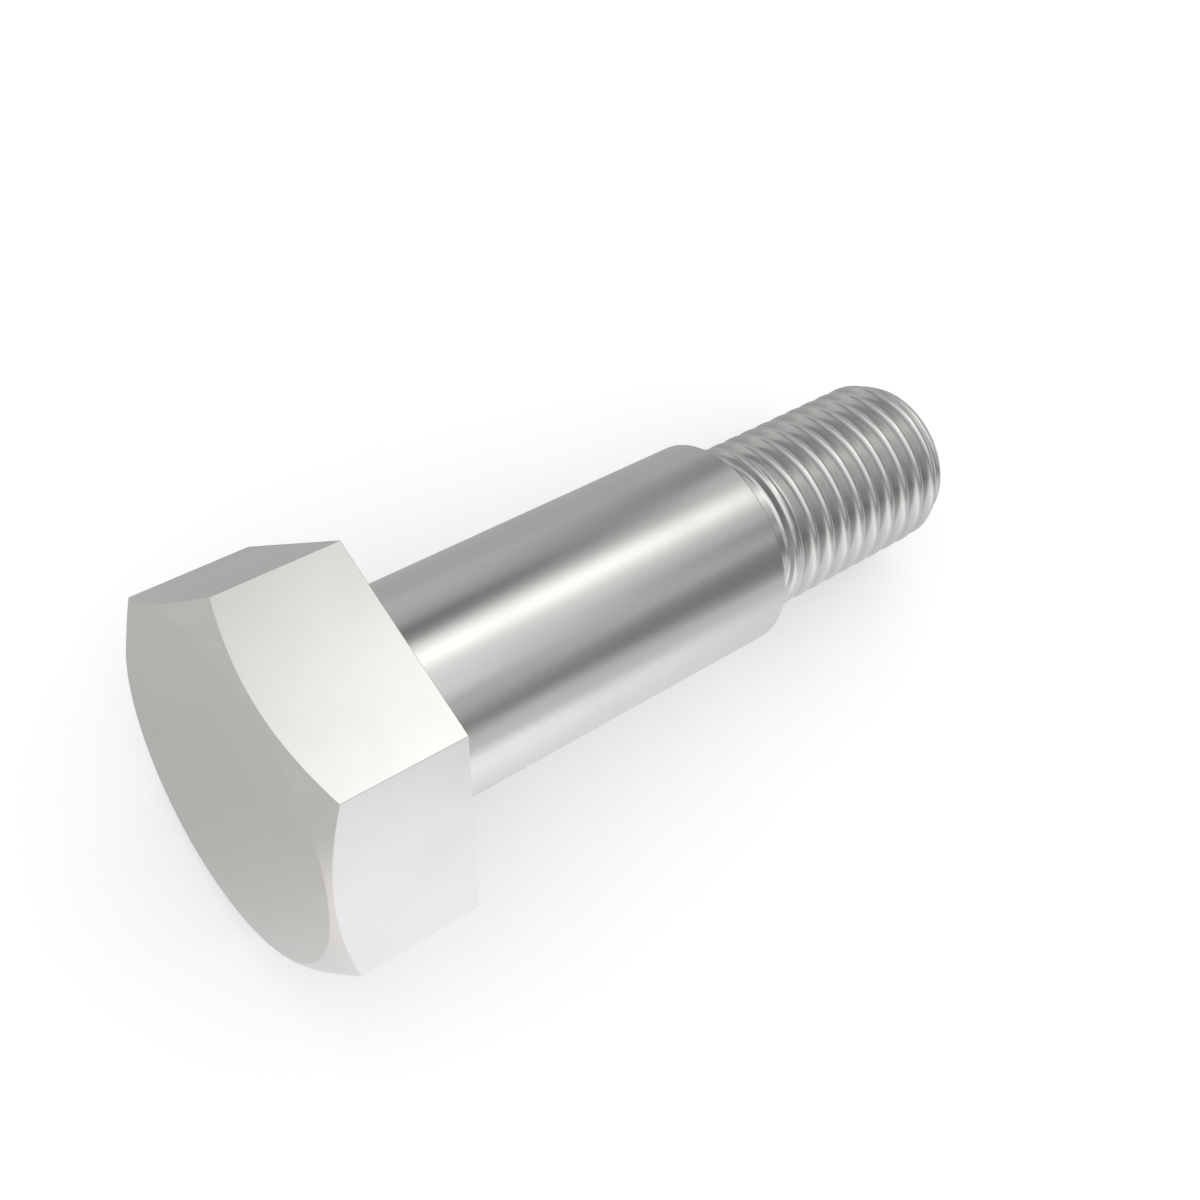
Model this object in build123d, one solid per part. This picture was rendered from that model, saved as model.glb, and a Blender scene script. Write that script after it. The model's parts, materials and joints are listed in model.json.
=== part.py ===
"""Hexagon head shoulder bolt, one solid of steel, in millimetres.

The bolt is drawn standing on the Z axis, with the bearing face under the head at z = 0 and the point
upwards. It is then laid down as it comes to rest on a level surface: on the edge of one head flat and on
the last thread crest. In that frame +Z is up, +X runs from the head to the point, and the origin is where
the bolt's axis meets the bearing face.
"""
from build123d import *
from math import atan, cos, degrees, floor, radians, sin, tan
import os

# Head
across_flats = 18.9
head_height = 7.75
head_disc_diameter = 18.3
head_chamfer_angle = 30.0

# Shoulder
shoulder_diameter = 12.0
shoulder_length = 23.7
underhead_fillet = 0.4

# Thread, right hand, with a round crest and narrow hollow roots
thread_diameter = 9.97
thread_pitch = 1.25
thread_flank_angle = 60.0
thread_crest_radius = 0.28
thread_root_radius = 0.05
thread_runout = 0.75
thread_lead_in = 1.6

# Neck between the shoulder and the thread, cut below the thread's crests
neck_depth = 0.385
neck_diameter = thread_diameter - 2 * neck_depth
neck_length = 1.7
neck_fillet = 0.25

# Collar between the neck and the thread, just proud of the thread's crests
collar_rise = 0.02
collar_diameter = thread_diameter + 2 * collar_rise
collar_length = 0.3

# Point, chamfered into the thread
shank_length = 38.4
point_depth = 0.585
point_diameter = thread_diameter - 2 * point_depth
point_length = 1.15

# Thread section, measured from the bolt's axis
half_flank = radians(thread_flank_angle / 2)
flank_tilt = radians(90 - thread_flank_angle / 2)
crest_height = thread_diameter / 2
crest_centre = crest_height - thread_crest_radius
ridge_apex = crest_centre + thread_crest_radius / sin(half_flank)
root_apex = ridge_apex - thread_pitch / 2 / tan(half_flank)
root_centre = root_apex + thread_root_radius / sin(half_flank)
root_arc_end = radians(25)
buried_arc_end = root_arc_end / 2
core_radius = root_centre - thread_root_radius * cos(root_arc_end)

# Places along the axis
neck_radius = neck_diameter / 2
neck_end = shoulder_length + neck_length
collar_radius = collar_diameter / 2
collar_start = neck_end + (collar_radius - neck_radius) * tan(half_flank)
collar_end = collar_start + collar_length
ridge_start = shoulder_length + thread_lead_in
point_start = shank_length - point_length
ridge_end = shank_length + thread_pitch


def turned(*outline):
    """Solid of revolution about Z from (radius, height) points and three-point arcs."""
    with BuildSketch(Plane.XZ) as section:
        with BuildLine():
            for first, second in zip(outline, outline[1:] + outline[:1]):
                start = first[-1] if isinstance(first[0], tuple) else first
                end = second[0] if isinstance(second[0], tuple) else second
                Line(start, end)
            for piece in outline:
                if isinstance(piece[0], tuple):
                    ThreePointArc(*piece)
        make_face()
    return revolve(section.sketch, Axis.Z)


def quarter(centre, radius, first_angle):
    """Three points of a quarter circle that runs clockwise from first_angle, in degrees."""
    return tuple(
        (centre[0] + radius * cos(radians(angle)), centre[1] + radius * sin(radians(angle)))
        for angle in (first_angle, first_angle - 45, first_angle - 90)
    )


def head():
    """Hexagonal prism with the corners of its outer end chamfered by a cone."""
    cone_rise = (across_flats - head_disc_diameter / 2) * tan(radians(head_chamfer_angle))
    outline = RegularPolygon(across_flats / 2, 6, major_radius=False, rotation=30)
    prism = Pos(0, 0, -head_height) * extrude(outline, head_height)
    chamfer = turned(
        (0, -head_height),
        (head_disc_diameter / 2, -head_height),
        (across_flats, cone_rise - head_height),
        (across_flats, head_height),
        (0, head_height),
    )
    return prism & chamfer


def turned_front():
    """The shoulder, and stock for the collar that falls as a cone into the thread's core."""
    shoulder_radius = shoulder_diameter / 2
    stock_radius = ridge_apex
    cone_slope = (collar_radius - core_radius) / thread_runout
    cone_start = collar_end - (stock_radius - collar_radius) / cone_slope
    cone_tip = cone_start + stock_radius / cone_slope
    fillet_centre = (shoulder_radius + underhead_fillet, underhead_fillet)
    return turned(
        (0, 0),
        quarter(fillet_centre, underhead_fillet, 270),
        (shoulder_radius, shoulder_length),
        (stock_radius, shoulder_length),
        (stock_radius, cone_start),
        (0, cone_tip),
    )


def core():
    """Root cylinder of the thread, longer than its ridge at both ends."""
    start = ridge_start - 2 * thread_pitch
    end = ridge_end + 2 * thread_pitch
    return Pos(0, 0, (start + end) / 2) * Cylinder(core_radius, end - start)


def ridge():
    """Helical ridge of the thread, rooted inside the core and running out past the point."""
    half_pitch = thread_pitch / 2
    base = core_radius - thread_root_radius

    def crest_point(angle):
        return (crest_centre + thread_crest_radius * cos(angle), thread_crest_radius * sin(angle))

    def root_point(angle, side):
        along = half_pitch - thread_root_radius * sin(angle)
        return (root_centre - thread_root_radius * cos(angle), side * along)

    with BuildSketch(Plane.XZ) as section:
        with BuildLine():
            ThreePointArc(*(crest_point(tilt) for tilt in (-flank_tilt, 0, flank_tilt)))
            for side in (-1, 1):
                tilts = (flank_tilt, (flank_tilt + buried_arc_end) / 2, buried_arc_end)
                ThreePointArc(*(root_point(tilt, side) for tilt in tilts))
                Line(crest_point(side * flank_tilt), root_point(flank_tilt, side))
                Line(root_point(buried_arc_end, side), (base, root_point(buried_arc_end, side)[1]))
            Line((base, root_point(buried_arc_end, -1)[1]), (base, root_point(buried_arc_end, 1)[1]))
        make_face()
    path = Helix(thread_pitch, ridge_end - ridge_start, root_centre)
    return Pos(0, 0, ridge_start) * sweep(section.sketch, path, is_frenet=True)


def neck_cut():
    """Ring groove behind the shoulder, with the round edge and the outer wall of the collar."""
    reach = shoulder_diameter
    trim_end = collar_end + thread_runout
    round_end = collar_start + thread_crest_radius * tan(flank_tilt / 2)

    def edge_point(angle):
        radius = collar_radius - thread_crest_radius + thread_crest_radius * cos(angle)
        return (radius, round_end - thread_crest_radius * sin(angle))

    return turned(
        quarter((neck_radius + neck_fillet, shoulder_length + neck_fillet), neck_fillet, 270),
        (neck_radius, neck_end),
        tuple(edge_point(angle) for angle in (flank_tilt, flank_tilt / 2, 0)),
        (collar_radius, trim_end),
        (reach, trim_end),
        (reach, shoulder_length),
    )


def point_cut():
    """Everything past the end face, and the chamfer of the point."""
    point_radius = point_diameter / 2
    slope = point_length / point_depth
    reach = shoulder_diameter
    stock_end = ridge_end + 3 * thread_pitch
    return turned(
        (0, shank_length),
        (point_radius, shank_length),
        (reach, shank_length - (reach - point_radius) * slope),
        (reach, stock_end),
        (0, stock_end),
    )


def rest_tilt():
    """Dip of the axis, in degrees, on one head edge and the last full crest on that side."""
    turns = floor((point_start - ridge_start) / thread_pitch)
    last_crest = ridge_start + turns * thread_pitch
    return degrees(atan((across_flats / 2 - crest_height) / last_crest))


def shoulder_bolt():
    """The whole bolt, lying as it rests."""
    shank = core() + ridge() + turned_front() - neck_cut() - point_cut()
    return Rot(0, 90 + rest_tilt(), 0) * (head() + shank)


os.makedirs("parts", exist_ok=True)
export_step(shoulder_bolt(), "parts/shoulder_bolt.step")
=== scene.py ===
"""Looks of a hexagon head shoulder bolt that lies on a pale studio floor.

The bolt is one closed skin, worked out as a turned surface whose profile changes with the angle
round the axis. Its material is satin turned steel. The skin is drawn in millimetres with the bolt's
axis along Z, the bearing face at zero and the point upwards, and is then laid down along the axis
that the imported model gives.
"""
import json
import math

import bpy
import numpy as np
from mathutils import Matrix, Quaternion, Vector


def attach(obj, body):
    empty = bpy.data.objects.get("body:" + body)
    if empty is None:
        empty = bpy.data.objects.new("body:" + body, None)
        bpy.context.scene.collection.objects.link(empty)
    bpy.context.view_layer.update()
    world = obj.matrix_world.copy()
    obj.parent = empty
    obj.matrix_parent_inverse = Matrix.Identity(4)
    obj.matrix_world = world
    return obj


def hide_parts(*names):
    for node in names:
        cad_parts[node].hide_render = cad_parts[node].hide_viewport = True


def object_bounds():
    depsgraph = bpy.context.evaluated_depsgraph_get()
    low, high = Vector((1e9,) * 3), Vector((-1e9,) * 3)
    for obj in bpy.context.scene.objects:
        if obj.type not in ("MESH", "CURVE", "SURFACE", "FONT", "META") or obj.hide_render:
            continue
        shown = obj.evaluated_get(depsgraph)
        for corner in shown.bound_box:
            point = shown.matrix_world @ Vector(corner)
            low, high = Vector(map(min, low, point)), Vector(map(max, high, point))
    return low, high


bl_info = {
    "name": "Shoulder bolt",
    "version": (1, 0, 0),
    "blender": (4, 5, 0),
    "location": "3D View > Sidebar > Shoulder bolt",
    "description": "Builds a satin steel shoulder bolt and the studio that it is shown in",
    "category": "Object",
}

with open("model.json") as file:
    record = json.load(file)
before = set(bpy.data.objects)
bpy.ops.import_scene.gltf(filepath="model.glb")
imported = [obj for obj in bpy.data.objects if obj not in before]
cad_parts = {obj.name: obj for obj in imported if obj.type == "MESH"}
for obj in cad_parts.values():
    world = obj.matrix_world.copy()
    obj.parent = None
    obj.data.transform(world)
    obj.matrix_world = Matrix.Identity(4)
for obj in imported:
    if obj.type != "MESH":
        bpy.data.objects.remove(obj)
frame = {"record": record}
cad_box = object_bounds()

MM = 0.001
NODE = "shoulder_bolt"
MOUNTS = {mount["name"]: mount for mount in frame["record"]["mounts"]}
AXIS = Vector(MOUNTS["bearing_face"]["axis"])
SENSOR_WIDTH = 36.0


def length(name, millimetres, description):
    """Length property, given in millimetres and kept in metres."""
    metres = millimetres * MM
    return bpy.props.FloatProperty(
        name=name, description=description, default=metres, min=0.0, precision=6, unit="LENGTH"
    )


def angle(name, degrees, description):
    """Angle property, given in degrees and kept in radians."""
    radians = math.radians(degrees)
    return bpy.props.FloatProperty(
        name=name, description=description, default=radians, subtype="ANGLE", unit="ROTATION"
    )


def share(name, value, description):
    """Plain number from 0 to 1."""
    return bpy.props.FloatProperty(
        name=name, description=description, default=value, min=0.0, max=1.0, subtype="FACTOR"
    )


def number(name, value, description):
    """Plain number from 0 up."""
    return bpy.props.FloatProperty(name=name, description=description, default=value, min=0.0)


def colour(name, value, description):
    """Linear colour property."""
    return bpy.props.FloatVectorProperty(
        name=name, description=description, default=value, size=3, min=0.0, max=1.0, subtype="COLOR"
    )


class BoltSizes(bpy.types.PropertyGroup):
    """Sizes of the bolt's skin."""

    across_flats: length("Across flats", 18.9, "Width of the head over its flats")
    head_height: length("Head height", 7.75, "Bearing face to the outer face of the head")
    head_disc: length("Disc", 18.3, "Diameter of the flat disc on the head's outer face")
    head_chamfer: angle("Chamfer", 30.0, "Slope of the cone that chamfers the head's corners")
    head_edge: length("Head edge", 0.03, "Radius that breaks the head's edges")
    corner: length("Corner", 0.03, "Radius of the six upright corners of the head")
    shoulder_radius: length(
        "Shoulder radius", MOUNTS["shoulder"]["dims"]["r_mm"], "Radius of the shoulder"
    )
    shoulder_length: length("Shoulder length", 23.7, "Bearing face to the end of the shoulder")
    underhead: length("Underhead fillet", 0.4, "Fillet between bearing face and shoulder")
    shoulder_edge: length("Shoulder edge", 0.05, "Radius that breaks the shoulder's end edge")
    neck_radius: length("Neck radius", 4.6, "Radius of the neck behind the shoulder")
    neck_length: length("Neck length", 1.7, "Shoulder end to the foot of the first flank")
    neck_fillet: length("Neck fillet", 0.25, "Fillet between shoulder end and neck")
    collar_radius: length("Collar radius", 5.005, "Radius of the collar between neck and thread")
    collar_length: length("Collar length", 0.3, "Length of the collar up to its fall")
    crest_height: length(
        "Crest height", MOUNTS["thread"]["dims"]["r_mm"], "Radius over the thread's crests"
    )
    pitch: length("Pitch", 1.25, "Distance from crest to crest")
    crest_round: length("Crest round", 0.28, "Radius of the thread's rounded crest")
    root_round: length("Root round", 0.05, "Radius of the thread's hollow root")
    flank_angle: angle("Flank angle", 60.0, "Angle between the two flanks of the thread")
    lead_in: length("Lead in", 1.6, "Shoulder end to the first crest on the lower side")
    runout: length("Run-out", 0.75, "Length over which the collar falls to the root")
    shank_length: length("Shank length", 38.4, "Bearing face to the end of the point")
    point_radius: length("Point radius", 4.4, "Radius of the end face")
    point_length: length("Point length", 1.15, "Length of the point's chamfer")
    thread_edge: length("Thread edge", 0.05, "Width over which cuts into the thread are blended")


class SteelFinish(bpy.types.PropertyGroup):
    """Finish of the steel."""

    tint: colour("Steel", (0.68, 0.675, 0.665), "Colour of the bare steel")
    dull_tint: colour("Dull steel", (0.665, 0.66, 0.65), "Colour of its duller patches")
    roughness: share("Roughness", 0.24, "Roughness of the turned steel")
    dull_roughness: share("Dull roughness", 0.26, "Roughness of the duller patches")
    patches_per_metre: number("Patches", 180.0, "Duller patches in a metre")
    patch_start: share("Patch start", 0.35, "Level of the cloud at which a patch begins")
    patch_full: share("Patch full", 0.7, "Level of the cloud from which a patch is full")
    marks_per_metre: number("Turning marks", 9000.0, "Turning marks in a metre")
    grains_per_metre: number("Grains", 6000.0, "Grains in a metre")
    relief: share("Relief", 0.12, "Strength of the turning marks and the grain")
    relief_depth: length("Relief depth", 0.006, "Depth of the turning marks and the grain")
    # Painted shade: this darker colour is painted on the thread's flanks, between these two
    # distances from the axis, to stand for the shade in the grooves.
    flank_shade_colour: colour("Recess", (0.612, 0.608, 0.599), "Colour of the thread's flanks")
    flank_shade_top: length("Recess top", 4.93, "Distance from the axis at which the recess begins")
    flank_shade_foot: length("Recess foot", 4.70, "Distance from the axis from which the recess is full")


class Studio(bpy.types.PropertyGroup):
    """Camera, floor and light tent."""

    camera_place: bpy.props.FloatVectorProperty(
        name="Camera", description="Place of the camera", default=(-0.021463, -0.020471, 0.077392),
        size=3, precision=5, subtype="TRANSLATION", unit="LENGTH",
    )
    camera_heading: angle("Heading", 29.047, "Direction that the camera faces, from +X towards +Y")
    camera_dip: angle("Dip", 62.001, "Angle of the view below the horizon")
    camera_roll: angle("Roll", 29.013, "Lean of the picture's upright to the left")
    camera_lens: bpy.props.FloatProperty(
        name="Lens", description="Focal length on a 36 mm sensor",
        default=49.51, min=1.0, unit="CAMERA",
    )
    floor_size: length("Floor", 8000.0, "Width of the floor")
    floor_tint: colour("Floor", (0.72, 0.72, 0.72), "Colour of the floor")
    floor_glow: share("Floor glow", 0.36, "White added to the floor where the camera sees it")
    # Painted light: the metal's reflections show glow painted on the floor, a grey card with an
    # oval lit pool, a little different behind the head and off the point's side; no lamp lights
    # them.
    pool_place: bpy.props.FloatVectorProperty(
        name="Pool", description="Middle of the lit pool of the floor", default=(-0.14, -0.1543),
        size=2, precision=4, subtype="XYZ", unit="LENGTH",
    )
    pool_turn: angle("Pool turn", -51.0, "Turn of the pool's length from +X towards +Y")
    pool_strength: number("Pool strength", 1.46, "Strength of the pool in the metal")
    pool_tint: colour("Pool tint", (0.884, 0.889, 0.919), "Colour of the pool")
    pool_near_tint: colour("Pool near", (0.94, 0.905, 0.878), "Colour of the pool behind the head")
    pool_reach: bpy.props.FloatVectorProperty(
        name="Reach", description="Half length and half width of the pool, to its border's middle",
        default=(0.0605, 0.2195), size=2, precision=4, subtype="XYZ", unit="LENGTH",
    )
    pool_border: share("Pool border", 0.134, "Half width of the pool's soft border over its reach")
    card_tint: colour("Card", (0.526, 0.526, 0.521), "Grey card round the pool")
    card_side_tint: colour("Card side", (0.711, 0.711, 0.706), "The card off the point's -Y side")
    card_side_start: length("Card side start", 20.0, "X less Y at which the card begins to lighten")
    card_side_end: length("Card side end", 100.0, "X less Y from which it is lightest")
    card_near_tint: colour("Card near", (0.729, 0.72, 0.696), "The card behind the head")
    near_reach: length(
        "Near reach", 24.0, "Distance behind the bearing face where the near colours are full"
    )
    tent_radius: length("Tent", 3000.0, "Radius of the light tent")


def finished(mesh_name, vertices, faces, material):
    """New object at the origin with a smooth mesh of these vertices and faces."""
    mesh = bpy.data.meshes.new(mesh_name)
    mesh.from_pydata(vertices.tolist(), [], faces)
    mesh.validate()
    mesh.shade_smooth()
    mesh.materials.append(material)
    obj = bpy.data.objects.new(mesh_name, mesh)
    bpy.context.scene.collection.objects.link(obj)
    return obj


class BoltSkin:
    """The bolt's skin in millimetres, on rings of vertices that all have the same angles."""

    ANGLES = ("head_chamfer", "flank_angle")
    FLATS = 6
    FACET = 2 * math.pi / FLATS
    FLAT_STEP = math.radians(2.0)
    ARC_STEPS = 4
    CREST_STEPS = 8
    FLANK_STEPS = 3
    COLLAR_STEPS = 3
    ROW_SPACING = 1.2
    MOST_SUPPORT = 0.25  # share of a run from its end to its support row, at most
    DISC_RING = 0.25  # share of the disc's radius
    END_FACE_RINGS = (0.97, 0.7, 0.35)  # shares of the end face's radius
    FALL_START = 0.1  # share of the collar's fall that the front rows take
    ROW_SLACK = 0.1  # share of a mean row step that the thread keeps from the rows it joins

    def __init__(self, sizes):
        for name in BoltSizes.__annotations__:
            unit = 1.0 if name in self.ANGLES else 1.0 / MM
            setattr(self, name, getattr(sizes, name) * unit)
        self.angles = self.ring_angles()
        self.hexagon = self.hexagon_radius(self.angles)
        self.half_flank = self.flank_angle / 2
        self.flank_tilt = math.pi / 2 - self.half_flank
        self.crest_centre = self.crest_height - self.crest_round
        self.ridge_apex = self.crest_centre + self.crest_round / math.sin(self.half_flank)
        root_apex = self.ridge_apex - self.pitch / 2 / math.tan(self.half_flank)
        self.root_centre = root_apex + self.root_round / math.sin(self.half_flank)
        self.neck_end = self.shoulder_length + self.neck_length
        rise = self.collar_radius - self.neck_radius
        collar_start = self.neck_end + rise * math.tan(self.half_flank)
        self.round_end = collar_start + self.crest_round * math.tan(self.flank_tilt / 2)
        self.collar_end = collar_start + self.collar_length
        self.first_crest = self.shoulder_length + self.lead_in
        self.end_height = self.shank_length - self.thread_edge

    def corner_turn(self):
        """Angle from a corner of the hexagon to where its rounding meets the flat."""
        apothem = self.across_flats / 2
        along = (apothem - self.corner) * math.tan(self.FACET / 2)
        return self.FACET / 2 - math.atan2(along, apothem)

    def ring_angles(self):
        """Angles round the axis: even steps over each flat, and a close group at each corner."""
        turn = self.corner_turn()
        edge = self.FACET / 2
        flat = np.arange(-edge + self.FLAT_STEP, edge - self.FLAT_STEP / 2, self.FLAT_STEP)
        support = 2 * turn
        group = edge + np.array([-support, -turn, -turn / 2, 0.0, turn / 2, turn, support])
        sector = np.concatenate([flat, group])
        return (sector + np.arange(self.FLATS)[:, None] * self.FACET).ravel()

    def hexagon_radius(self, angles):
        """Radius of a hexagon with rounded corners: apothem over cosine on a flat, and at a corner
        the far crossing of the ray with a circle of the corner's radius."""
        apothem = self.across_flats / 2
        edge = self.FACET / 2
        off_flat = (angles + edge) % self.FACET - edge
        off_corner = edge - np.abs(off_flat)
        centre = (apothem - self.corner) / math.cos(edge)
        arc = centre * np.cos(off_corner)
        arc += np.sqrt(np.maximum(self.corner**2 - (centre * np.sin(off_corner)) ** 2, 0.0))
        return np.where(off_corner < self.corner_turn(), arc, apothem / np.cos(off_flat))

    def point(self, radius, height):
        """One profile corner on every ring angle, as an array of (radius, height) pairs."""
        return np.stack(np.broadcast_arrays(radius, height, self.angles)[:2], axis=1).astype(float)

    def profile(self, corners, roundings):
        """Rows of points along a polyline whose inner corners are arcs that touch both their sides.

        The arc's centre lies on the corner's bisector, and its points are equal turns from the one
        touching point to the other. Straight runs get a row close to each arc and even rows in
        between.
        """
        rows = []
        run_start = corners[0]
        last_radius = roundings[0]
        for before, corner, after, radius in zip(corners, corners[1:], corners[2:], roundings):
            back = (before - corner) / np.linalg.norm(before - corner, axis=1, keepdims=True)
            ahead = (after - corner) / np.linalg.norm(after - corner, axis=1, keepdims=True)
            half = np.arccos(np.clip((back * ahead).sum(1), -1.0, 1.0))[:, None] / 2
            middle = (back + ahead) / np.linalg.norm(back + ahead, axis=1, keepdims=True)
            centre = corner + middle * radius / np.sin(half)
            touch = corner + back * radius / np.tan(half)
            leave = corner + ahead * radius / np.tan(half)
            rows += self.straight(run_start, touch, last_radius, radius)
            last_radius = radius
            sweep = math.pi - 2 * half
            for step in np.linspace(0.0, 1.0, self.ARC_STEPS + 1):
                start = (touch - centre) * np.sin((1 - step) * sweep)
                end = (leave - centre) * np.sin(step * sweep)
                rows.append(centre + (start + end) / np.sin(sweep))
            run_start = leave
        return rows + self.straight(run_start, corners[-1], last_radius, last_radius)

    def straight(self, start, end, start_support, end_support):
        """Rows strictly between two points: a support row near each, and even ones between them."""
        run = np.linalg.norm(end - start, axis=1).min()
        first = min(start_support / run, self.MOST_SUPPORT)
        last = 1 - min(end_support / run, self.MOST_SUPPORT)
        count = max(int((last - first) * run / self.ROW_SPACING), 1)
        return [start + (end - start) * at for at in np.linspace(first, last, count + 1)]

    @staticmethod
    def blended_least(first, second, width):
        """The lower of two radii, with the step between them rounded by a parabola over a width."""
        mix = np.clip(0.5 + 0.5 * (second - first) / width, 0.0, 1.0)
        return second + (first - second) * mix - width * mix * (1 - mix)

    def ridge_radius(self, off_crest):
        """Thread section at a distance from a crest's middle: round crest, straight flank, hollow
        root."""
        off = np.abs(off_crest)
        radius = self.ridge_apex - off / math.tan(self.half_flank)
        crest = off < self.crest_round * math.sin(self.flank_tilt)
        crest_arc = self.crest_centre + np.sqrt(np.maximum(self.crest_round**2 - off**2, 0.0))
        off_root = self.pitch / 2 - off
        root = off_root < self.root_round * math.sin(self.flank_tilt)
        root_arc = self.root_centre - np.sqrt(np.maximum(self.root_round**2 - off_root**2, 0.0))
        return np.where(crest, crest_arc, np.where(root, root_arc, radius))

    def shank_radius(self, height, turn):
        """Radius past the neck: the higher of the helical ridge and the collar with its falling
        cone, cut by the neck's flank, the collar's round edge and the cone of the point."""
        crest = self.first_crest + self.pitch * turn / (2 * math.pi)
        off_crest = (height - crest + self.pitch / 2) % self.pitch - self.pitch / 2
        ridge = self.ridge_radius(off_crest)
        root = self.root_centre - self.root_round
        fall = (self.collar_radius - root) / self.runout
        cone = self.collar_radius - (height - self.collar_end) * fall
        collar = np.minimum(self.collar_radius, cone)
        radius = -self.blended_least(-ridge, -collar, self.thread_edge)
        flank = self.neck_radius + (height - self.neck_end) / math.tan(self.half_flank)
        before = self.round_end - height
        edge = self.collar_radius - self.crest_round
        edge += np.sqrt(np.maximum(self.crest_round**2 - before**2, 0.0))
        edge = np.where(before > self.crest_round * math.sin(self.flank_tilt), flank, edge)
        radius = np.minimum(radius, np.where(before > 0, edge, self.collar_radius))
        slope = (self.crest_height - self.point_radius) / self.point_length
        point = self.point_radius + (self.shank_length - height) * slope
        return self.blended_least(radius, point, self.thread_edge)

    def pitch_rows(self):
        """Heights of one pitch's rows above a crest's middle: equal turns on both arcs, and even
        steps on the flanks."""
        turns = np.linspace(-self.flank_tilt, self.flank_tilt, self.CREST_STEPS + 1)
        crest = self.crest_round * np.sin(turns)
        root = self.pitch / 2 + self.root_round * np.sin(turns)
        up = np.linspace(crest[-1], root[0], self.FLANK_STEPS + 2)[1:-1]
        down = self.pitch - up[::-1]
        return np.concatenate([crest, up, root, down])

    def front_rows(self):
        """Rows from the head's disc over the shoulder and the neck to the collar's fall."""
        chamfer_rise = (self.hexagon - self.head_disc / 2) * math.tan(self.head_chamfer)
        outer = -self.head_height
        corners = [
            self.point(self.head_disc / 2 * self.DISC_RING, outer),
            self.point(self.head_disc / 2, outer),
            self.point(self.hexagon, outer + chamfer_rise),
            self.point(self.hexagon, 0.0),
            self.point(self.shoulder_radius, 0.0),
            self.point(self.shoulder_radius, self.shoulder_length),
            self.point(self.neck_radius, self.shoulder_length),
            self.point(self.neck_radius, self.neck_end),
        ]
        edge = self.head_edge
        rows = self.profile(
            corners, [edge, edge, edge, self.underhead, self.shoulder_edge, self.neck_fillet]
        )
        turns = np.linspace(self.flank_tilt, 0.0, self.CREST_STEPS + 1)
        over_edge = self.round_end - self.crest_round * np.sin(turns)
        to_edge = np.linspace(self.neck_end, over_edge[0], self.COLLAR_STEPS + 1)[:-1]
        fall = self.collar_end + self.FALL_START * self.runout
        on_collar = np.linspace(self.round_end, fall, self.COLLAR_STEPS + 1)[1:]
        for height in np.concatenate([to_edge, over_edge, on_collar]):
            rows.append(self.point(self.shank_radius(height, self.angles), height))
        return rows

    def tip_rows(self):
        """Rows over the rounded edge of the point and inwards on its end face."""
        rim = self.shank_radius(self.end_height, self.angles)
        rows = []
        for turn in np.linspace(0.0, math.pi / 2, self.ARC_STEPS + 1):
            inset = self.thread_edge * (1 - math.cos(turn))
            rise = self.thread_edge * math.sin(turn)
            rows.append(self.point(rim - inset, self.end_height + rise))
        for part in self.END_FACE_RINGS:
            rows.append(self.point((rim - self.thread_edge) * part, self.shank_length))
        return rows

    def thread_heights(self):
        """Heights of the thread's rows at each ring angle. They climb by one pitch in a turn."""
        pitches = math.ceil((self.end_height - self.first_crest) / self.pitch) + 2
        crests = self.pitch * np.arange(-1, pitches)
        heights = (self.pitch_rows() + crests[:, None]).ravel() + self.first_crest
        return heights[:, None] + self.pitch * self.angles / (2 * math.pi)

    def skin(self):
        """Vertices and faces of the closed skin, from the head's disc to the end face.

        The thread's grid climbs with the helix. Its rows below the collar's last row and above the
        tip's first row take the vertices of those rows, and its seam joins each row to the one a
        pitch on.
        """
        rows = self.front_rows()
        tip = self.tip_rows()
        heights = self.thread_heights()
        ring = len(self.angles)
        per_pitch = len(self.pitch_rows())
        first_tip = np.arange(ring) + len(rows) * ring
        last_front = first_tip - ring
        slack = self.ROW_SLACK * self.pitch / per_pitch
        low = rows[-1][0, 1] + slack
        inside = (heights > low) & (heights < self.end_height - slack)
        index = np.cumsum(inside).reshape(inside.shape) - 1 + (len(rows) + len(tip)) * ring
        index = np.where(heights <= low, last_front, np.where(inside, index, first_tip))
        seam = np.concatenate([index[per_pitch:, 0], np.full(per_pitch, first_tip[0])])
        index = np.column_stack([index, seam])

        fixed = np.concatenate(rows + tip)
        turns = np.tile(self.angles, len(rows) + len(tip))
        thread_turns = np.broadcast_to(self.angles, heights.shape)[inside]
        thread_height = heights[inside]
        thread_radius = self.shank_radius(thread_height, thread_turns)
        thread = np.stack([thread_radius, thread_height], axis=1)
        radius, height = np.concatenate([fixed, thread]).T
        turns = np.concatenate([turns, thread_turns])
        vertices = np.stack([radius * np.cos(turns), radius * np.sin(turns), height], axis=1)
        poles = np.array([[0.0, 0.0, -self.head_height], [0.0, 0.0, self.shank_length]])
        near_pole, far_pole = len(vertices), len(vertices) + 1

        count = len(rows) * ring
        front_grid = np.arange(count).reshape(-1, ring)
        tip_grid = np.arange(count, count + len(tip) * ring).reshape(-1, ring)
        faces = self.quads(self.wrapped(front_grid))
        faces += self.quads(self.wrapped(tip_grid))
        faces += self.quads(index)
        after = np.roll(front_grid[0], -1)
        faces += np.stack([np.full(ring, near_pole), after, front_grid[0]], axis=1).tolist()
        after = np.roll(tip_grid[-1], -1)
        faces += np.stack([np.full(ring, far_pole), tip_grid[-1], after], axis=1).tolist()
        return np.concatenate([vertices, poles]), faces

    @staticmethod
    def wrapped(grid):
        """A grid of vertex numbers with its first column repeated at the end."""
        return np.column_stack([grid, grid[:, 0]])

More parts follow.
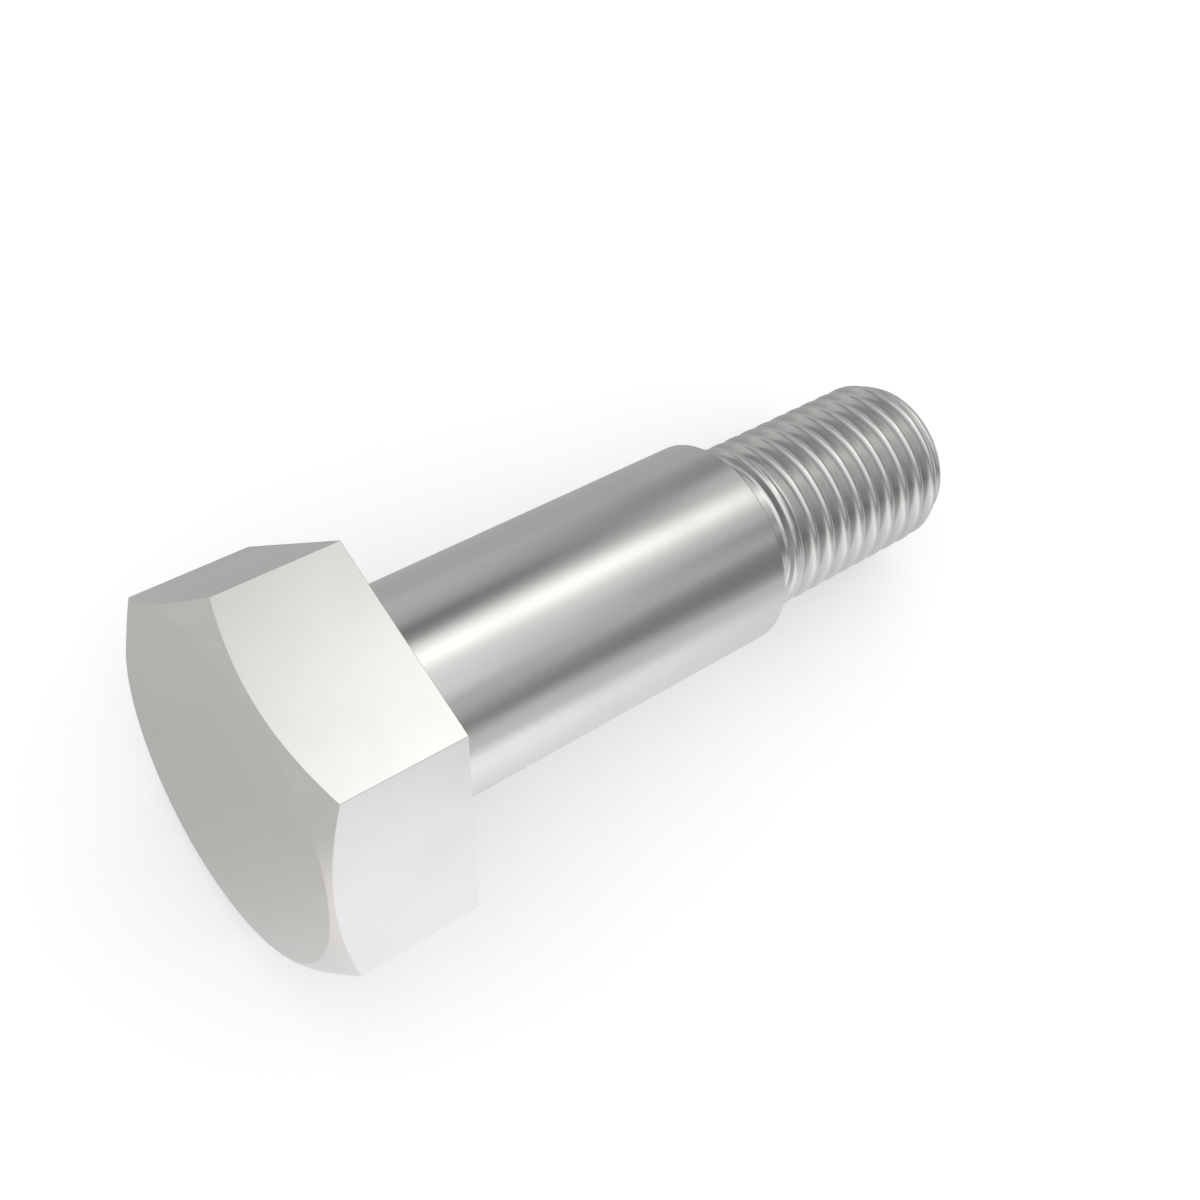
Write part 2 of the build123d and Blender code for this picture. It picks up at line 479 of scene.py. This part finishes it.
    @staticmethod
    def quads(index):
        """Faces of a grid of vertex numbers. Where two numbers of a quad are one, it becomes a
        triangle, and where more are, it is left out."""
        quad = np.stack([index[:-1, :-1], index[:-1, 1:], index[1:, 1:], index[1:, :-1]], axis=-1)
        quad = quad.reshape(-1, 4)
        same = quad == np.roll(quad, -1, axis=1)
        faces = quad[same.sum(1) == 0].tolist()
        for place in range(4):
            single = quad[(same.sum(1) == 1) & same[:, place]]
            faces += np.delete(single, place, axis=1).tolist()
        return faces


def laid_down(vertices):
    """Millimetres along Z to metres along the bolt's axis at rest, with the X side down."""
    down = Vector((-math.sqrt(1 - AXIS.x**2), 0.0, -AXIS.x))
    side = AXIS.cross(down)
    turn = np.array(Matrix((down, side, AXIS)))
    return vertices @ turn * MM


class Nodes:
    """Short way to add and join nodes in one tree."""

    def __init__(self, tree):
        self.tree = tree
        tree.nodes.clear()

    def put(self, socket, value):
        """Give a socket a value, or join it to another node's output."""
        if isinstance(value, bpy.types.NodeSocket):
            self.tree.links.new(value, socket)
        else:
            socket.default_value = value

    def add(self, kind, settings=None, **inputs):
        """New node with settings, and inputs by name or by i and a number. An underscore in a name
        stands for a space."""
        node = self.tree.nodes.new(kind)
        for name, value in (settings or {}).items():
            setattr(node, name, value)
        for name, value in inputs.items():
            key = int(name[1:]) if name[1:].isdigit() else name.replace("_", " ")
            self.put(node.inputs[key], value)
        return node

    def maths(self, operation, *values):
        """Output of a Math node."""
        inputs = {f"i{place}": value for place, value in enumerate(values)}
        return self.add("ShaderNodeMath", {"operation": operation}, **inputs).outputs[0]

    def ramp(self, value, start, end, interpolation="SMOOTHSTEP"):
        """Output that goes from 0 where the value is the start to 1 where it is the end."""
        node = self.add(
            "ShaderNodeMapRange", {"interpolation_type": interpolation},
            Value=value, From_Min=start, From_Max=end,
        )
        return node.outputs[0]

    def parts(self, vector):
        """X, Y and Z outputs of a vector."""
        return self.add("ShaderNodeSeparateXYZ", Vector=vector).outputs

    def off_axis(self, parts):
        """Distance from the Z axis: the length of X and Y."""
        across = self.add("ShaderNodeCombineXYZ", X=parts["X"], Y=parts["Y"]).outputs[0]
        return self.add("ShaderNodeVectorMath", {"operation": "LENGTH"}, i0=across).outputs["Value"]

    def mixed(self, share_of_second, first, second):
        """Colour between two colours, each a value or another node's output."""
        node = self.add("ShaderNodeMix", {"data_type": "RGBA"})
        inputs = {socket.identifier: socket for socket in node.inputs}
        self.put(inputs["Factor_Float"], share_of_second)
        self.put(inputs["A_Color"], first)
        self.put(inputs["B_Color"], second)
        return next(socket for socket in node.outputs if socket.identifier == "Result_Color")


def opaque(tint, strength=1.0):
    """A colour times a strength, with the fourth number that colour sockets take."""
    return (*(level * strength for level in tint), 1.0)


def new_material(name):
    """New material, and the nodes of its empty tree."""
    material = bpy.data.materials.new(name)
    material.use_nodes = True
    return material, Nodes(material.node_tree)


def group_tree(name, inputs, outputs):
    """New shader node group with named float or vector sockets."""
    tree = bpy.data.node_groups.new(name, "ShaderNodeTree")
    for socket, kind in inputs:
        tree.interface.new_socket(name=socket, in_out="INPUT", socket_type=kind)
    for socket, kind in outputs:
        tree.interface.new_socket(name=socket, in_out="OUTPUT", socket_type=kind)
    return tree


def turning_marks():
    """Group: fine rings round the bolt's axis, on walls and faces alike, from noise over the height
    along the axis and the distance from it."""
    tree = group_tree(
        "Turning marks",
        [("Vector", "NodeSocketVector"), ("Marks per metre", "NodeSocketFloat")],
        [("Height", "NodeSocketFloat")],
    )
    nodes = Nodes(tree)
    given = nodes.add("NodeGroupInput").outputs
    parts = nodes.parts(given["Vector"])
    along = nodes.maths("MULTIPLY", parts["Z"], given["Marks per metre"])
    outward = nodes.maths("MULTIPLY", nodes.off_axis(parts), given["Marks per metre"])
    place = nodes.add("ShaderNodeCombineXYZ", X=along, Y=outward).outputs[0]
    rings = nodes.add(
        "ShaderNodeTexNoise", {"noise_dimensions": "2D"}, Vector=place, Scale=1.0, Detail=2.0
    )
    nodes.add("NodeGroupOutput", Height=rings.outputs[0])
    return tree


def painted_flank_shade(nodes, upright, sizes, finish):
    """Mask of the painted shade on the thread's flanks: near the axis, between the neck and the
    point.
    """
    parts = nodes.parts(upright)
    deep = nodes.ramp(nodes.off_axis(parts), finish.flank_shade_top, finish.flank_shade_foot)
    past_neck = nodes.maths("GREATER_THAN", parts["Z"], sizes.shoulder_length + sizes.neck_length)
    before_point = nodes.maths("LESS_THAN", parts["Z"], sizes.shank_length - sizes.point_length)
    return nodes.maths("MULTIPLY", deep, nodes.maths("MULTIPLY", past_neck, before_point))


def steel(sizes, finish):
    """Satin turned steel: duller cloudy patches, fine turning marks, a faint grain, and painted
    shade on the thread's flanks.
    """
    material, nodes = new_material("satin_steel")
    place = nodes.add("ShaderNodeTexCoord").outputs["Object"]
    lean = math.atan2(-AXIS.z, AXIS.x)
    upright = nodes.add(
        "ShaderNodeMapping", {"vector_type": "POINT"},
        Vector=place, Rotation=(0.0, -math.pi / 2 - lean, 0.0),
    ).outputs[0]
    cloud = nodes.add(
        "ShaderNodeTexNoise",
        Vector=upright, Scale=finish.patches_per_metre, Detail=3.0, Roughness=0.55,
    )
    dull = nodes.ramp(cloud.outputs[0], finish.patch_start, finish.patch_full)
    marks = nodes.add(
        "ShaderNodeGroup", {"node_tree": turning_marks()},
        Vector=upright, Marks_per_metre=finish.marks_per_metre,
    )
    grain = nodes.add(
        "ShaderNodeTexNoise", Vector=upright, Scale=finish.grains_per_metre, Detail=2.0
    )
    relief = nodes.maths("ADD", marks.outputs[0], grain.outputs[0])
    bump = nodes.add(
        "ShaderNodeBump", Strength=finish.relief, Distance=finish.relief_depth, Height=relief
    )
    tint = nodes.mixed(dull, opaque(finish.tint), opaque(finish.dull_tint))
    # Painted shade: the thread's flanks are darkened to the flank shade colour.
    tint = nodes.mixed(painted_flank_shade(nodes, upright, sizes, finish), tint, opaque(finish.flank_shade_colour))
    rough = nodes.add(
        "ShaderNodeMapRange", Value=dull, To_Min=finish.roughness, To_Max=finish.dull_roughness
    )
    shader = nodes.add(
        "ShaderNodeBsdfPrincipled",
        Base_Color=tint, Roughness=rough.outputs[0], Normal=bump.outputs[0], Metallic=1.0,
    )
    nodes.add("ShaderNodeOutputMaterial", Surface=shader.outputs[0])
    return material


TENT_HEADINGS = 96
TENT_HEIGHTS = 24
TENT_BY_HEIGHT = (
    # height in degrees, level
    (0.0, 0.83),
    (8.0, 0.71),
    (16.0, 0.16),
    (24.0, 0.40),
    (32.0, 0.73),
    (42.0, 0.40),
    (52.0, 0.98),
    (62.0, 0.97),
    (90.0, 1.38),
)
TENT_TOP = 90.0
PANEL_ANGLES = ("Heading", "Height", "Half width", "Half height", "Border")
TENT_PANELS = (
    # colour, then the panel's angles in degrees
    ((1.93, 1.91, 1.84), 16.9, 55.2, 12.0, 14.4, 12.0),
    ((0.051, 0.05, 0.047), 49.7, 42.4, 7.2, 13.4, 6.0),
    ((0.62, 0.62, 0.62), 73.6, 8.8, 20.4, 15.1, 4.0),
    ((0.218, 0.218, 0.212), -16.1, 12.9, 39.1, 16.2, 4.0),
    ((0.331, 0.331, 0.327), 47.1, 6.2, 9.0, 9.4, 5.0),
    ((0.15, 0.15, 0.148), -25.4, 36.4, 5.0, 8.5, 5.0),
    ((1.03, 1.03, 1.03), -40.2, 49.9, 9.1, 6.3, 5.0),
    ((1.4, 1.4, 1.38), 35.0, 23.3, 5.0, 4.2, 5.0),
)


def soft_panel():
    """Group: mask of a panel of the light tent, from a direction: how far it lies inside a box of
    heading and height round the panel's middle, with a soft border."""
    tree = group_tree(
        "Soft panel",
        [("Direction", "NodeSocketVector")] + [(name, "NodeSocketFloat") for name in PANEL_ANGLES],
        [("Mask", "NodeSocketFloat")],
    )
    nodes = Nodes(tree)
    given = nodes.add("NodeGroupInput").outputs
    back = nodes.maths("MULTIPLY", given["Heading"], -1.0)
    turned = nodes.add(
        "ShaderNodeVectorRotate", {"rotation_type": "Z_AXIS"}, Vector=given["Direction"], Angle=back
    )
    parts = nodes.parts(turned.outputs[0])
    heading = nodes.maths("ABSOLUTE", nodes.maths("ARCTAN2", parts["Y"], parts["X"]))
    height = nodes.maths("SUBTRACT", nodes.maths("ARCSINE", parts["Z"]), given["Height"])
    height = nodes.maths("ABSOLUTE", height)
    masks = []
    for value, half in ((heading, given["Half width"]), (height, given["Half height"])):
        outside = nodes.maths("ADD", half, given["Border"])
        inside = nodes.maths("SUBTRACT", half, given["Border"])
        masks.append(nodes.ramp(value, outside, inside))
    nodes.add("NodeGroupOutput", Mask=nodes.maths("MULTIPLY", *masks))
    return tree


def tent_material():
    """Glow of the light tent: levels by height, with soft panels laid over them."""
    material, nodes = new_material("tent_glow")
    material.cycles.emission_sampling = "NONE"
    place = nodes.add("ShaderNodeTexCoord").outputs["Object"]
    direction = nodes.add("ShaderNodeVectorMath", {"operation": "NORMALIZE"}, i0=place).outputs[0]
    up = nodes.parts(direction)["Z"]
    height = nodes.maths("DIVIDE", nodes.maths("ARCSINE", up), math.radians(TENT_TOP))
    ramp = nodes.add("ShaderNodeValToRGB", Fac=height)
    stops = ramp.color_ramp.elements
    while len(stops) < len(TENT_BY_HEIGHT):
        stops.new(1.0)
    peak = max(level for _, level in TENT_BY_HEIGHT)
    for stop, (degrees, level) in zip(stops, TENT_BY_HEIGHT):
        stop.position = degrees / TENT_TOP
        stop.color = opaque((level / peak,) * 3)
    glow = nodes.add(
        "ShaderNodeVectorMath", {"operation": "SCALE"}, i0=ramp.outputs["Color"], Scale=peak
    ).outputs["Vector"]
    panel_tree = soft_panel()
    for panel_colour, *angles in TENT_PANELS:
        panel = nodes.add("ShaderNodeGroup", {"node_tree": panel_tree}, Direction=direction)
        for name, degrees in zip(PANEL_ANGLES, angles):
            panel.inputs[name].default_value = math.radians(degrees)
        glow = nodes.mixed(panel.outputs[0], glow, opaque(panel_colour))
    light = nodes.add("ShaderNodeEmission", Color=glow, Strength=1.0)
    nodes.add("ShaderNodeOutputMaterial", Surface=light.outputs[0])
    return material


def floor_material(studio):
    """Pale matt floor that keeps its shadows, with white added where the camera sees it. The metal
    sees a painted reflection there instead: the glow of a grey card with an oval pool of painted
    light, without the bolt's shadow."""
    material, nodes = new_material("studio_floor")
    path = nodes.add("ShaderNodeLightPath").outputs
    seen = nodes.maths("MAXIMUM", path["Is Camera Ray"], path["Is Transmission Ray"])
    matt = nodes.add("ShaderNodeBsdfDiffuse", Color=opaque(studio.floor_tint))
    glow = nodes.add("ShaderNodeEmission", Color=opaque((studio.floor_glow,) * 3), Strength=seen)
    white = nodes.add("ShaderNodeAddShader", i0=matt.outputs[0], i1=glow.outputs[0])

    place = nodes.add("ShaderNodeTexCoord").outputs["Object"]
    parts = nodes.parts(place)
    aside = nodes.maths("SUBTRACT", parts["X"], parts["Y"])
    aside = nodes.ramp(aside, studio.card_side_start, studio.card_side_end)
    behind = nodes.ramp(parts["X"], 0.0, -studio.near_reach, "LINEAR")
    card = nodes.mixed(aside, opaque(studio.card_tint), opaque(studio.card_side_tint))
    card = nodes.mixed(behind, card, opaque(studio.card_near_tint))
    # Painted light: a pool of glow on the floor, seen only in the metal.
    pool = nodes.mixed(
        behind,
        opaque(studio.pool_tint, studio.pool_strength),
        opaque(studio.pool_near_tint, studio.pool_strength),
    )
    oval = nodes.add(
        "ShaderNodeMapping", {"vector_type": "TEXTURE"},
        Vector=place,
        Location=(*studio.pool_place, 0.0),
        Rotation=(0.0, 0.0, studio.pool_turn),
        Scale=(*studio.pool_reach, 1.0),
    )
    out = nodes.off_axis(nodes.parts(oval.outputs[0]))
    past = nodes.ramp(out, 1.0 - studio.pool_border, 1.0 + studio.pool_border)
    painted_reflection = nodes.add("ShaderNodeEmission", Color=nodes.mixed(past, pool, card), Strength=1.0)
    both = nodes.add(
        "ShaderNodeMixShader", i0=path["Is Glossy Ray"], i1=white.outputs[0], i2=painted_reflection.outputs[0]
    )
    nodes.add("ShaderNodeOutputMaterial", Surface=both.outputs[0])
    return material


def floor_mesh(size, base):
    """Level square at the height of the bolt's lowest point."""
    half = size / 2
    corners = ((-half, -half), (half, -half), (half, half), (-half, half))
    return np.array([(x, y, base) for x, y in corners]), [[0, 1, 2, 3]]


def tent_mesh(radius, base):
    """Half sphere round the bolt, open below: radius times the cosines and sines of heading and
    height."""
    headings = np.linspace(0.0, 2 * math.pi, TENT_HEADINGS + 1)[:-1]
    heights = np.linspace(0.0, math.pi / 2, TENT_HEIGHTS + 1)
    height, heading = np.meshgrid(heights, headings, indexing="ij")
    out = np.cos(height)
    points = np.stack([out * np.cos(heading), out * np.sin(heading), np.sin(height)], axis=-1)
    points = points.reshape(-1, 3) * radius + np.array([0.0, 0.0, base])
    index = BoltSkin.wrapped(np.arange(len(points)).reshape(height.shape))
    return points, BoltSkin.quads(index)


def white_world():
    """Plain white world at strength 1."""
    world = bpy.data.worlds.new("studio_white")
    world.use_nodes = True
    background = world.node_tree.nodes["Background"]
    background.inputs["Color"].default_value = opaque((1.0, 1.0, 1.0))
    background.inputs["Strength"].default_value = 1.0
    return world


def studio_camera(studio):
    """Camera that faces along its heading and dip, rolled about its line of sight."""
    lens = bpy.data.cameras.new("camera")
    lens.lens = studio.camera_lens
    lens.sensor_width = SENSOR_WIDTH
    lens.clip_start = MM
    camera = bpy.data.objects.new("camera", lens)
    heading, dip = studio.camera_heading, studio.camera_dip
    level = math.cos(dip)
    facing = Vector((math.cos(heading) * level, math.sin(heading) * level, -math.sin(dip)))
    camera.rotation_mode = "QUATERNION"
    roll = Quaternion((0.0, 0.0, 1.0), studio.camera_roll)
    camera.rotation_quaternion = facing.to_track_quat("-Z", "Y") @ roll
    camera.location = studio.camera_place
    return camera


class BOLT_OT_bolt(bpy.types.Operator):
    """Build the bolt's skin in satin steel in place of the plain model"""

    bl_idname = "shoulder_bolt.bolt"
    bl_label = "Bolt"

    def execute(self, context):
        scene = context.scene
        vertices, faces = BoltSkin(scene.bolt_sizes).skin()
        metal = steel(scene.bolt_sizes, scene.bolt_finish)
        bolt = finished("bolt", laid_down(vertices), faces, metal)
        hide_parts(NODE)
        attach(bolt, "root")
        return {"FINISHED"}


class BOLT_OT_studio(bpy.types.Operator):
    """Set up the floor, the light tent, the world and the camera"""

    bl_idname = "shoulder_bolt.studio"
    bl_label = "Studio"

    def execute(self, context):
        scene = context.scene
        studio = scene.bolt_studio
        base = cad_box[0].z
        points, faces = floor_mesh(studio.floor_size, base)
        floor = finished("studio_floor", points, faces, floor_material(studio))
        points, faces = tent_mesh(studio.tent_radius, base)
        tent = finished("light_tent", points, faces, tent_material())
        for ray in ("camera", "diffuse", "shadow", "transmission", "volume_scatter"):
            setattr(tent, "visible_" + ray, False)
        scene.world = white_world()
        scene.view_settings.view_transform = "Standard"
        camera = studio_camera(studio)
        scene.collection.objects.link(camera)
        scene.camera = camera
        return {"FINISHED"}


class BOLT_PT_panel(bpy.types.Panel):
    """Steps of the bolt and its studio"""

    bl_idname = "BOLT_PT_panel"
    bl_label = "Shoulder bolt"
    bl_space_type = "VIEW_3D"
    bl_region_type = "UI"
    bl_category = "Shoulder bolt"

    def draw(self, context):
        for title, owner, operator in STEPS:
            box = self.layout.box()
            box.label(text=title)
            group = getattr(context.scene, owner)
            for name in type(group).__annotations__:
                box.prop(group, name)
            if operator:
                box.operator(operator)


STEPS = (
    ("Sizes", "bolt_sizes", None),
    ("Steel", "bolt_finish", BOLT_OT_bolt.bl_idname),
    ("Studio", "bolt_studio", BOLT_OT_studio.bl_idname),
)
GROUPS = {"bolt_sizes": BoltSizes, "bolt_finish": SteelFinish, "bolt_studio": Studio}
CLASSES = (BoltSizes, SteelFinish, Studio, BOLT_OT_bolt, BOLT_OT_studio, BOLT_PT_panel)


def register():
    """Register the classes and put their settings on the scene."""
    for cls in CLASSES:
        bpy.utils.register_class(cls)
    for name, group in GROUPS.items():
        setattr(bpy.types.Scene, name, bpy.props.PointerProperty(type=group))


def unregister():
    """Take the settings and the classes away again."""
    for name in GROUPS:
        delattr(bpy.types.Scene, name)
    for cls in reversed(CLASSES):
        bpy.utils.unregister_class(cls)


def main():
    """Build the bolt and the studio."""
    register()
    bpy.ops.shoulder_bolt.bolt()
    bpy.ops.shoulder_bolt.studio()


if __name__ == "__main__":
    main()
